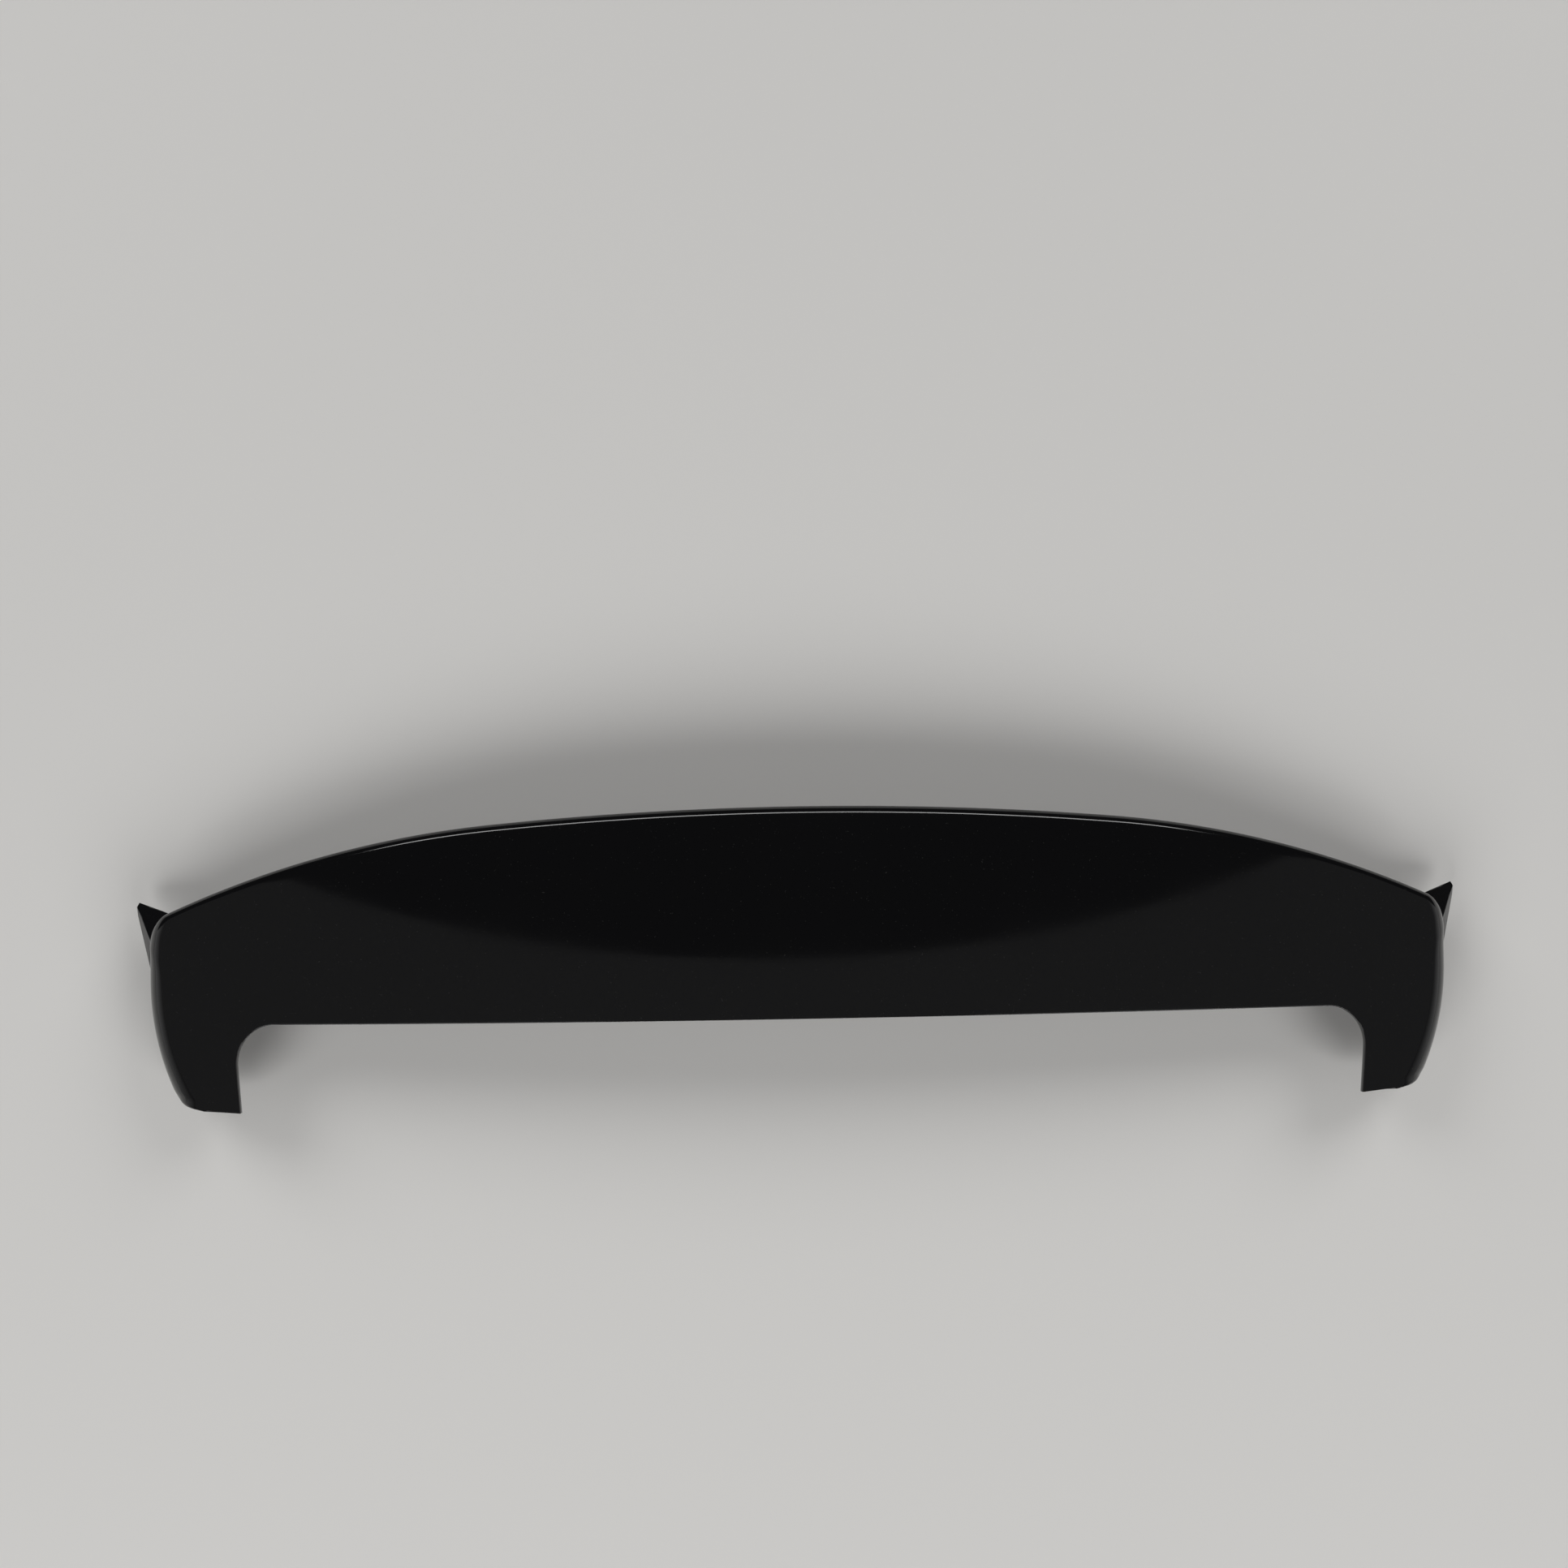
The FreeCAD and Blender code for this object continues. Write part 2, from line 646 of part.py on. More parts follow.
bore_radius = [(0.5, "insert_rib_diameter"), (1, "insert_clearance")]
bore_low = [(1, "seal_thickness"), (-1, "insert_length")]
bore_top = [(1, "seal_thickness"), (1, "insert_recess"), (1, "insert_length"), (1, "insert_clearance")]
bore = turned("bore", tube(bore_radius, bore_low, bore_top), STUD_X, STUD_Y)
socket_radius = [(0.5, "clip_shank_diameter"), (1, "clip_clearance")]
socket_low = [(1, "clip_seat"), (-1, "clip_shank_length")]
socket_top = [(1, "clip_seat"), (1, "clip_shank_length"), (1, "clip_clearance")]
socket = turned("socket", tube(socket_radius, socket_low, socket_top), CLIP_X, CLIP_Y)
sockets = fused("sockets", [socket, mirrored("socket_left", socket, ACROSS)])
bored = joined("Cut", "bored_pan", filled, four_up("bores", bore))
lower_shell = joined("Cut", "lower_shell", bored, sockets)

# brass inserts, a barrel with two raised bands and a blind thread bore
barrel = half("insert_diameter")
band = half("insert_rib_diameter")
seat = [(1, "seal_thickness"), (1, "insert_recess")]
thread = [(0.5, "stud_end_diameter"), (1, "stud_clearance")]
insert_top = seat + one("insert_length")
bands = [seat, seat + [(1, "insert_rib_width")], insert_top + [(-1, "insert_rib_width")], insert_top]
thread_end = seat + [(1, "stud_engagement"), (1, "stud_clearance")]
insert_profile = [(thread, seat), (band, seat), (band, bands[1]), (barrel, bands[1]),
                  (barrel, bands[2]), (band, bands[2]), (band, insert_top), ([], insert_top),
                  ([], thread_end), (thread, thread_end)]
stud_inserts = four_up("stud_inserts", turned("insert", insert_profile, STUD_X, STUD_Y))

# studs with a lead at each end and a slimmer end in the insert, and the foam ring that seals each one
stud_top = seat + one("stud_engagement")
stud_low = stud_top + [(-1, "stud_length")]
shank = half("stud_diameter")
nose = [(0.5, "stud_diameter"), (-1, "stud_lead")]
slim = half("stud_end_diameter")
slim_nose = [(0.5, "stud_end_diameter"), (-1, "stud_lead")]
stud_profile = [([], stud_low), (nose, stud_low), (shank, stud_low + one("stud_lead")),
                (shank, one("seal_thickness")), (slim, one("seal_thickness")),
                (slim, stud_top + [(-1, "stud_lead")]), (slim_nose, stud_top), ([], stud_top)]
mounting_studs = four_up("mounting_studs", turned("stud", stud_profile, STUD_X, STUD_Y))
ring = tube(half("seal_diameter"), [], one("seal_thickness"), half("seal_bore"))
stud_seals = four_up("stud_seals", turned("seal", ring, STUD_X, STUD_Y))

# leg clips: a shank in the boss, a flange under it and a stem of spring fins
clip_seat = one("clip_seat")
flange_low = clip_seat + [(-1, "clip_flange_thickness")]
stem = half("clip_stem_diameter")
clip_profile = [([], clip_seat + one("clip_shank_length")),
                (half("clip_shank_diameter"), clip_seat + one("clip_shank_length")),
                (half("clip_shank_diameter"), clip_seat),
                (half("clip_flange_diameter"), clip_seat), (half("clip_flange_diameter"), flange_low)]
for fin in range(CLIP_FINS):
    fin_top = flange_low + [(-fin - 0.5, "clip_fin_pitch")]
    clip_profile += [(stem, fin_top), (half("clip_fin_diameter"), fin_top),
                     (stem, fin_top + [(-0.5, "clip_fin_pitch")])]
stem_low = flange_low + [(-CLIP_FINS, "clip_fin_pitch")]
clip_profile += [([], stem_low + [(-1, "clip_tip_length")])]
clip = turned("clip", clip_profile, CLIP_X, CLIP_Y)
leg_clips = doc.addObject("Part::Compound", "leg_clips")
leg_clips.Links = [clip, mirrored("clip_left", clip, ACROSS)]


def underside_arc(sketch, near, far, gap):
    """An arc that follows the underside, the named gap below it, between two places along the section."""
    centre = (-size("underside_low_reach"), size("underside_low") + size("underside_radius"))
    radius = size("underside_radius") + size(gap)
    ends = [-90.0 + math.degrees(math.asin((total(place) - centre[0]) / radius)) for place in (near, far)]
    item = sketch.addGeometry(arc(centre, radius, *ends), False)
    up = [(1, "underside_low"), (1, "underside_radius")]
    pin_point(sketch, item, 3, "arc_centre", [(-1, "underside_low_reach")], up)
    curve = Sketcher.Constraint("Radius", item, radius)
    bind(sketch, curve, "arc_radius", f"sizes.underside_radius + sizes.{gap}")
    for end, place, label in ((1, near, "near"), (2, far, "far")):
        across = Sketcher.Constraint("DistanceX", -1, 1, item, end, total(place))
        bind(sketch, across, f"arc_{label}", formula(place))
    return [sketch.getPoint(item, 1), sketch.getPoint(item, 2)]


def seat_section(body, name, near, far, drops):
    """A section under the underside: the arc on top, and below it corners dropped from the arc's ends."""
    sketch = new_sketch(body, name, "YZ_Plane")
    start, end = underside_arc(sketch, near, far, "seat_gap")
    chain = [end]
    for across, drop in drops:
        chain.append(FreeCAD.Vector(total(across), end.y - total(drop), 0))
    chain.append(start)
    for first, second in zip(chain, chain[1:]):
        sketch.addGeometry(Part.LineSegment(first, second), False)
    count = len(drops)
    sketch.addConstraint(Sketcher.Constraint("Coincident", 0, 2, 1, 1))
    for index in range(1, count + 1):
        sketch.addConstraint(Sketcher.Constraint("Coincident", index, 2, index + 1, 1))
    sketch.addConstraint(Sketcher.Constraint("Coincident", count + 1, 2, 0, 1))
    for index, (across, drop) in enumerate(drops, 1):
        place = Sketcher.Constraint("DistanceX", -1, 1, index, 2, total(across))
        bind(sketch, place, f"drop_{index}_across", formula(across))
        depth = Sketcher.Constraint("DistanceY", index, 2, 0, 2, total(drop))
        bind(sketch, depth, f"drop_{index}_depth", formula(drop))
    return sketch


def seat_sweep(name, near, far, drops, angle):
    """A seat section swept about the crown axis, to both sides of the middle."""
    body = new_body(name)
    sketch = seat_section(body, f"{name}_section", near, far, drops)
    crown_axis(sketch)
    sweep = revolve(body, f"{name}_sweep", sketch, "Axis0", angle)
    sweep.Midplane = True
    return body


# seal strip behind the bay edge, a flat base with a lip
strip_near = [(-1, "bay_edge"), (1, "strip_setback"), (-0.5, "strip_width")]
strip_far = [(-1, "bay_edge"), (1, "strip_setback"), (0.5, "strip_width")]
strip_drops = [(strip_far, one("strip_base")), (strip_near + one("strip_lip_width"), one("strip_base")),
               (strip_near, one("strip_lip"))]
strip_angle = "2 * asin(sizes.strip_half_length / sizes.crown_radius)"
edge_seal = seat_sweep("edge_seal", strip_near, strip_far, strip_drops, strip_angle)

# buffer pads under the trailing edge, with a flat foot
pad_near = [(1, "pad_y"), (-0.5, "pad_width")]
pad_far = [(1, "pad_y"), (0.5, "pad_width")]
pad_drops = [(pad_far, one("stock_reach")), (pad_near, one("stock_reach"))]
pad_room = seat_sweep("pad_room", pad_near, pad_far, pad_drops, "sizes.stock_angle")
pad_block = doc.addObject("Part::Box", "pad_block")
pad_block.setExpression("Length", "sizes.pad_length")
pad_block.setExpression("Width", "sizes.pad_width")
pad_block.setExpression("Height", "sizes.stock_reach")
pad_block.setExpression("Placement.Base.x", "sizes.pad_x - sizes.pad_length / 2")
pad_block.setExpression("Placement.Base.y", "sizes.pad_y - sizes.pad_width / 2")
pad_block.setExpression("Placement.Base.z", "sizes.pad_foot")
buffer_pad_right = joined("Common", "buffer_pad_right", pad_block, pad_room)
buffer_pad_left = mirrored("buffer_pad_left", buffer_pad_right, ACROSS)

PIECES = [upper_shell, lower_shell, stud_inserts, mounting_studs, stud_seals, leg_clips, edge_seal,
          buffer_pad_left, buffer_pad_right]

doc.recompute()
for item in doc.Objects:
    if "Invalid" in item.State or "Error" in item.State:
        raise RuntimeError(f"{item.Name} did not build")
for piece in PIECES:
    if piece.Shape.isNull() or not piece.Shape.isValid():
        raise RuntimeError(f"{piece.Name} has no valid shape")
os.makedirs("parts", exist_ok=True)
for piece in PIECES:
    piece.Label = piece.Name
    piece.Shape.exportStep(f"parts/{piece.Name}.step")
    print(piece.Name, len(piece.Shape.Solids), round(piece.Shape.Volume))
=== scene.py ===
import json
import math
import bmesh
import bpy
from mathutils import Matrix, Vector, kdtree


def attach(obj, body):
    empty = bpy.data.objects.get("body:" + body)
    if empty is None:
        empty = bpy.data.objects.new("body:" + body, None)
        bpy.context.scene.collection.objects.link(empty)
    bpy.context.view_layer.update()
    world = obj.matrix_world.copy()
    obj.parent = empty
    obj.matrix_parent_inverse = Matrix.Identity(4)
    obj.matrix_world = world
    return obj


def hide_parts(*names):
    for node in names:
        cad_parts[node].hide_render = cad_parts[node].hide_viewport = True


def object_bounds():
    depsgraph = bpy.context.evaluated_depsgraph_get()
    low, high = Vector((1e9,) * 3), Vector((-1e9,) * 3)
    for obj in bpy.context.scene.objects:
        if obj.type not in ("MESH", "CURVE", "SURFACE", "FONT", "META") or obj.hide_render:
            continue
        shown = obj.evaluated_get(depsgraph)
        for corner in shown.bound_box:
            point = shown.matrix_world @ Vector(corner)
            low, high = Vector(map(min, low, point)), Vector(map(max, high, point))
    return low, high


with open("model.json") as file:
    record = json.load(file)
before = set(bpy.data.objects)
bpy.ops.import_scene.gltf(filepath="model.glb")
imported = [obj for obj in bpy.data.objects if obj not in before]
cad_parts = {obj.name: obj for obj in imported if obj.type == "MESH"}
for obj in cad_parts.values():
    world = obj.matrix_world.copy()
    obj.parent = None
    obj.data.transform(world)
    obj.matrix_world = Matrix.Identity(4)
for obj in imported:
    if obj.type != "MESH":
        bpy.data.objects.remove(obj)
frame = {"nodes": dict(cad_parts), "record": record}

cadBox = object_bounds()
cad = frame["nodes"]
mm = 0.001  # sizes below are in millimetres, the scene is in metres
print("frame loaded:", ", ".join(sorted(cad)))


# camera, from the photograph's perspective

viewpoint = {
    "elevation": 94.0,  # degrees over the painted face, past square on
    "swing": -1.92,
    "roll": -0.99,
    "distance": 1.393,
    "aim": (0.0, 0.0, 0.062),  # crown of the painted face
    "aimPixel": (992.0, 1180.0),
    "focalPixels": 1935.0,
    "imagePixels": 1932.0,
    "sensor": 36.0,
    "clipEnd": 50.0,
}


def axesOf(back, right):
    back = back.normalized()
    right = (right - back * right.dot(back)).normalized()
    return Matrix((right, back.cross(right), back)).transposed()


def addCamera(v):
    tilt, swing, roll = (math.radians(v[key]) for key in ("elevation", "swing", "roll"))
    flat = math.cos(swing)
    away = Vector((math.sin(swing), -math.cos(tilt) * flat, math.sin(tilt) * flat))
    half = v["imagePixels"] / 2
    aimX = (v["aimPixel"][0] - half) / v["focalPixels"]
    aimY = (half - v["aimPixel"][1]) / v["focalPixels"]
    toAim = Vector((aimX, aimY, -1.0))
    inCamera = axesOf(-toAim, Vector((1, 0, 0)))
    inWorld = axesOf(away, Vector((math.cos(roll), math.sin(roll), 0)))
    data = bpy.data.cameras.new("camera")
    data.sensor_width = v["sensor"]
    data.lens = v["sensor"] * v["focalPixels"] / v["imagePixels"]
    data.clip_end = v["clipEnd"]
    camera = bpy.data.objects.new("camera", data)
    place = Vector(v["aim"]) + away.normalized() * v["distance"]
    camera.matrix_world = Matrix.Translation(place) @ (inWorld @ inCamera.transposed()).to_4x4()
    bpy.context.collection.objects.link(camera)
    bpy.context.scene.camera = camera


addCamera(viewpoint)
print("camera set")


# materials

noiseSpan = (0.3, 0.7)  # where most of a noise's values lie


def startMaterial(name):
    material = bpy.data.materials.new(name)
    material.use_nodes = True
    nodes = material.node_tree.nodes
    return material, nodes, material.node_tree.links, nodes["Principled BSDF"]


def objectNoise(nodes, links, scale, detail, roughness=0.5):
    coords = nodes.new("ShaderNodeTexCoord")
    noise = nodes.new("ShaderNodeTexNoise")
    noise.inputs["Scale"].default_value = scale
    noise.inputs["Detail"].default_value = detail
    noise.inputs["Roughness"].default_value = roughness
    links.new(coords.outputs["Object"], noise.inputs["Vector"])
    return noise.outputs["Fac"]


def ramp(nodes, links, fac, low, high, dark, light):
    node = nodes.new("ShaderNodeMapRange")
    node.inputs["From Min"].default_value = low
    node.inputs["From Max"].default_value = high
    node.inputs["To Min"].default_value = dark
    node.inputs["To Max"].default_value = light
    links.new(fac, node.inputs["Value"])
    return node.outputs["Result"]


def colourMix(nodes, links, fac, first, second):
    mix = nodes.new("ShaderNodeMix")
    mix.data_type = "RGBA"
    mix.inputs[6].default_value = (*first, 1.0)  # its two colour sockets
    mix.inputs[7].default_value = (*second, 1.0)
    links.new(fac, mix.inputs[0])
    return mix.outputs[2]


def addBump(nodes, links, shader, height, strength, distance):
    bump = nodes.new("ShaderNodeBump")
    bump.inputs["Strength"].default_value = strength
    bump.inputs["Distance"].default_value = distance
    links.new(height, bump.inputs["Height"])
    links.new(bump.outputs["Normal"], shader.inputs["Normal"])


paint = {
    "colour": (0.0022, 0.0022, 0.0025), "ior": 1.5,
    "peelScale": 150.0, "peelDetail": 1.0, "peelStrength": 0.03, "peelDepth": 0.0002,
    "hazeScale": 9.0, "hazeDetail": 4.0, "roughness": (0.05, 0.10),
    "dustScale": 700.0, "dustDetail": 1.0, "dustRoughness": 0.3,
    "dustSpan": (0.74, 0.80), "dustShare": 0.35, "dustColour": (0.05, 0.05, 0.048),
}


def glossPaint(p):
    material, nodes, links, shader = startMaterial("glossPaint")
    peel = objectNoise(nodes, links, p["peelScale"], p["peelDetail"])
    haze = objectNoise(nodes, links, p["hazeScale"], p["hazeDetail"])
    dust = objectNoise(nodes, links, p["dustScale"], p["dustDetail"], p["dustRoughness"])
    specks = ramp(nodes, links, dust, *p["dustSpan"], 0.0, p["dustShare"])
    colour = colourMix(nodes, links, specks, p["colour"], p["dustColour"])
    links.new(colour, shader.inputs["Base Color"])
    links.new(ramp(nodes, links, haze, *noiseSpan, *p["roughness"]), shader.inputs["Roughness"])
    shader.inputs["IOR"].default_value = p["ior"]
    addBump(nodes, links, shader, peel, p["peelStrength"], p["peelDepth"])
    return material


plastic = {
    "grainDetail": 2.0, "grainStrength": 0.35, "sheenSwing": 0.07,
    "toneScale": 14.0, "toneDetail": 3.0, "toneGain": 1.35, "toneLift": 0.002,
}


def mouldedPlastic(name, colour, roughness, grainScale, grainDepth):
    material, nodes, links, shader = startMaterial(name)
    grain = objectNoise(nodes, links, grainScale, plastic["grainDetail"])
    tone = objectNoise(nodes, links, plastic["toneScale"], plastic["toneDetail"])
    paler = tuple(value * plastic["toneGain"] + plastic["toneLift"] for value in colour)
    links.new(colourMix(nodes, links, tone, colour, paler), shader.inputs["Base Color"])
    swing = plastic["sheenSwing"]
    sheen = ramp(nodes, links, grain, *noiseSpan, roughness - swing, roughness + swing)
    links.new(sheen, shader.inputs["Roughness"])
    addBump(nodes, links, shader, grain, plastic["grainStrength"], grainDepth)
    return material


foam = {"cellSpan": 0.6, "pitPaintedShade": 0.4, "pitStrength": 0.6, "pitDepth": 0.0004, "roughness": 0.92}


def cellFoam(name, colour, cellScale):
    material, nodes, links, shader = startMaterial(name)
    coords = nodes.new("ShaderNodeTexCoord")
    cells = nodes.new("ShaderNodeTexVoronoi")
    cells.inputs["Scale"].default_value = cellScale
    links.new(coords.outputs["Object"], cells.inputs["Vector"])
    # the cell pits are painted darker: painted shade in the hollows that the bump also lowers
    pits = ramp(nodes, links, cells.outputs["Distance"], 0.0, foam["cellSpan"], 0.0, 1.0)
    darker = tuple(value * foam["pitPaintedShade"] for value in colour)
    links.new(colourMix(nodes, links, pits, darker, colour), shader.inputs["Base Color"])
    shader.inputs["Roughness"].default_value = foam["roughness"]
    addBump(nodes, links, shader, pits, foam["pitStrength"], foam["pitDepth"])
    return material


metal = {
    "stainScale": 260.0, "stainDetail": 4.0, "stainShade": 0.78,
    "brighter": 0.06, "duller": 0.08,  # how far the roughness swings each way
}


def bareMetal(name, colour, roughness):
    material, nodes, links, shader = startMaterial(name)
    stain = objectNoise(nodes, links, metal["stainScale"], metal["stainDetail"])
    darker = tuple(value * metal["stainShade"] for value in colour)
    links.new(colourMix(nodes, links, stain, darker, colour), shader.inputs["Base Color"])
    bright, dull = roughness - metal["brighter"], roughness + metal["duller"]
    links.new(ramp(nodes, links, stain, *noiseSpan, bright, dull), shader.inputs["Roughness"])
    shader.inputs["Metallic"].default_value = 1.0
    return material


finishes = {
    "gloss_paint": glossPaint(paint),
    "grained_plastic": mouldedPlastic("grainedPlastic", (0.011, 0.011, 0.012),
                                      roughness=0.42, grainScale=1400.0, grainDepth=0.00012),
    "insert_brass": bareMetal("insertBrass", (0.70, 0.48, 0.20), roughness=0.28),
    "stud_steel": bareMetal("zincSteel", (0.62, 0.63, 0.66), roughness=0.26),
    "seal_foam": cellFoam("sealFoam", (0.035, 0.035, 0.036), cellScale=1500.0),
    "clip_plastic": mouldedPlastic("clipNylon", (0.60, 0.58, 0.52),
                                   roughness=0.45, grainScale=900.0, grainDepth=0.00005),
    "seal_rubber": mouldedPlastic("sealRubber", (0.012, 0.012, 0.012),
                                  roughness=0.66, grainScale=700.0, grainDepth=0.00008),
    "pad_foam": cellFoam("padFoam", (0.045, 0.045, 0.047), cellScale=800.0),
}
print("materials:", len(finishes))


# painted upper skin, drawn from the same plan and crown as the solid

skin = {
    "trailingReach": 134.0, "trailingRadius": 3200.0, "trailingBreak": 280.0, "endRadius": 950.0,
    "cornerRadius": 34.0, "halfWidth": 598.0, "sideFlat": 30.0, "flankRadius": 250.0,
    "legCornerRadius": 28.0, "legReach": 130.0, "legEndAngle": 5.0,
    "legWidth": 90.0, "legInnerAngle": 3.5, "legUndercut": 20.0,
    "bayCornerRadius": 36.0, "bayEdge": 54.0, "bayLip": 6.0,
    "crownHeight": 61.93, "crownRadius": 3700.0, "sectionRadius": 1500.0, "wall": 2.8,
    "undersideLow": 17.0, "undersideRadius": 1250.0, "undersideReach": 100.0,
    "partingLine": ((150.0, 46.0), (10.0, 50.5), (-60.0, 32.0), (-150.0, 24.0)),
    "bayEdgeRound": 1.0, "bayEdgeSteps": (0.33, 0.67),
    "leastRoll": 1.0, "lipGapShare": 0.3,  # for the inside of the wall
    "wallReach": 40.0,  # how far down the outer wall is searched for the parting line
    "waveDepth": 1.6, "waveSpan": (0.40, 0.80), "waveFade": 14.0,  # small wave in the leg's end
    "endGap": 12.0,  # along the outer line, from the leg's end to its inside
    "rowStep": 3.0, "wallColumns": 4, "topColumns": 30, "rollColumns": 20,
    "rimHalvings": 40, "sharpAngle": 35.0,
}
stations = [  # shares along the bay side and the outer side, then the roll and the undercut's share
    (("bay", 0.0), ("trailing", 0.0), 7.0, 0.15),
    (("bay", 0.45), ("trailing", 0.8), 7.0, 0.15),
    (("bay", 0.75), ("end", 0.45), 7.0, 0.15),
    (("bay", 0.91), ("end", 0.8), 7.0, 0.15),
    (("bay", 1.0), ("end", 1.0), 7.0, 0.2),
    (("bayCorner", 0.3), ("corner", 0.4), 14.0, 0.4),
    (("bayCorner", 0.6), ("corner", 0.8), 22.0, 0.7),
    (("bayCorner", 0.9), ("side", 0.5), 26.0, 0.95),
    (("legInner", 0.25), ("flank", 0.3), 26.0, 1.0),
    (("legInner", 0.6), ("flank", 0.8), 26.0, 1.0),
    (("legInner", 0.8), ("legCorner", 0.15), 26.0, 1.0),
    (("legInner", 0.92), ("legCorner", 0.55), 16.0, 1.0),
    (("legInner", 1.0), ("legCorner", 1.0), 7.0, 1.0),
]


def polar(centre, radius, angle):
    turn = math.radians(angle)
    return Vector((centre[0] + radius * math.cos(turn), centre[1] + radius * math.sin(turn)))


def arcLine(name, centre, radius, first, last):
    length = radius * math.radians(abs(last - first))
    return name, length, lambda share: polar(centre, radius, first + (last - first) * share)


def straightLine(name, first, last):
    return name, (last - first).length, lambda share: first.lerp(last, share)


def planPaths(p):
    trailingCentre = (0.0, p["trailingReach"] - p["trailingRadius"])
    breakTurn = math.degrees(math.acos(p["trailingBreak"] / p["trailingRadius"]))
    endCentre = polar(trailingCentre, p["trailingRadius"] - p["endRadius"], breakTurn)
    cornerX = p["halfWidth"] - p["cornerRadius"]
    reach = p["endRadius"] - p["cornerRadius"]
    cornerY = endCentre.y + math.sqrt(reach ** 2 - (cornerX - endCentre.x) ** 2)
    cornerTurn = math.degrees(math.atan2(cornerY - endCentre.y, cornerX - endCentre.x))
    sideY = cornerY - p["sideFlat"]
    flankCentre = (p["halfWidth"] - p["flankRadius"], sideY)
    legY = p["legCornerRadius"] * math.cos(math.radians(p["legEndAngle"])) - p["legReach"]
    reach = p["flankRadius"] - p["legCornerRadius"]
    legX = flankCentre[0] + math.sqrt(reach ** 2 - (legY - sideY) ** 2)
    legTurn = math.degrees(math.atan2(legY - sideY, legX - flankCentre[0]))
    footTurn = -90.0 - p["legEndAngle"]
    foot = polar((legX, legY), p["legCornerRadius"], footTurn)
    tipX = p["halfWidth"] - p["legWidth"]
    tip = Vector((tipX, foot.y - (foot.x - tipX) * math.tan(math.radians(p["legEndAngle"]))))
    lean = math.radians(p["legInnerAngle"])
    bayY = -p["bayEdge"] - p["bayCornerRadius"]
    rise = bayY - tip.y - p["bayCornerRadius"] * math.sin(lean)
    bayX = tip.x + rise * math.tan(lean) - p["bayCornerRadius"] * math.cos(lean)
    legTop = polar((bayX, bayY), p["bayCornerRadius"], -p["legInnerAngle"])
    outer = [
        arcLine("trailing", trailingCentre, p["trailingRadius"], 90.0, breakTurn),
        arcLine("end", endCentre, p["endRadius"], breakTurn, cornerTurn),
        arcLine("corner", (cornerX, cornerY), p["cornerRadius"], cornerTurn, 0.0),
        straightLine("side", Vector((p["halfWidth"], cornerY)), Vector((p["halfWidth"], sideY))),
        arcLine("flank", flankCentre, p["flankRadius"], 0.0, legTurn),
        arcLine("legCorner", (legX, legY), p["legCornerRadius"], legTurn, footTurn),
    ]
    inner = [
        straightLine("bay", Vector((0.0, -p["bayEdge"])), Vector((bayX, -p["bayEdge"]))),
        arcLine("bayCorner", (bayX, bayY), p["bayCornerRadius"], 90.0, -p["legInnerAngle"]),
        straightLine("legInner", legTop, tip),
    ]
    return outer, inner


def distanceAt(path, name, share):
    run = 0.0
    for label, length, place in path:
        if label == name:
            return run + length * share
        run += length


def placeAt(path, distance):
    for label, length, place in path:
        if distance <= length:
            return place(max(distance, 0.0) / length)
        distance -= length
    return path[-1][2](1.0)


def easedThrough(xs, ys):
    # monotone cubic through the stations, so nothing overshoots between them
    steps = [(ys[i + 1] - ys[i]) / (xs[i + 1] - xs[i]) for i in range(len(xs) - 1)]
    slopes = [steps[0]]
    for before, after in zip(steps, steps[1:]):
        slopes.append(0.0 if before * after <= 0 else 2 * before * after / (before + after))
    slopes.append(steps[-1])

    def value(x):
        i = max(k for k in range(len(xs) - 1) if k == 0 or x >= xs[k])
        width = xs[i + 1] - xs[i]
        t = (x - xs[i]) / width
        first = (1 + 2 * t) * (1 - t) ** 2 * ys[i] + t * (1 - t) ** 2 * width * slopes[i]
        return first + t * t * (3 - 2 * t) * ys[i + 1] + t * t * (t - 1) * width * slopes[i + 1]

    return value


def crownTurn(p, height, across):
    axis = p["crownHeight"] - p["crownRadius"]
    return axis + math.sqrt((height - axis) ** 2 - across ** 2)


def topHeight(p, place, gap=0.0):
    centre = p["crownHeight"] - p["sectionRadius"]
    return crownTurn(p, centre + math.sqrt((p["sectionRadius"] - gap) ** 2 - place.y ** 2), place.x)


def lowHeight(p, place):
    centre = p["undersideLow"] + p["undersideRadius"]
    along = place.y + p["undersideReach"]
    return crownTurn(p, centre - math.sqrt(p["undersideRadius"] ** 2 - along ** 2), place.x)


def partingHeight(p, place):
    knots = p["partingLine"]
    for (rearY, rearZ), (frontY, frontZ) in zip(knots, knots[1:]):
        if place.y >= frontY:
            break
    share = (place.y - frontY) / (rearY - frontY)
    return crownTurn(p, frontZ + (rearZ - frontZ) * share, place.x)


def bezier(start, corner, end, t):
    pull = 0.5523  # draws close to a quarter circle
    first = start.lerp(corner, pull)
    second = end.lerp(corner, pull)
    ends = start * (1 - t) ** 3 + end * t ** 3
    return ends + first * 3 * t * (1 - t) ** 2 + second * 3 * t * t * (1 - t)


def outerEdge(p, inner, outer, roll, t):
    # the roll for t up to 1, then straight down the wall
    along = (outer - inner).normalized()
    start = outer - along * roll
    top = topHeight(p, outer)
    wallTop = Vector((*outer, top - roll))
    if t <= 1.0:
        return bezier(Vector((*start, topHeight(p, start))), Vector((*outer, top)), wallTop, t)
    return wallTop - Vector((0, 0, (t - 1.0) * p["wallReach"]))


def rimShare(p, inner, outer, roll):
    # how far along the outer edge the parting line cuts it
    low, high = 0.0, 2.0
    for step in range(p["rimHalvings"]):
        middle = (low + high) / 2
        spot = outerEdge(p, inner, outer, roll, middle)
        if spot.z > partingHeight(p, spot):
            low = middle
        else:
            high = middle
    return low


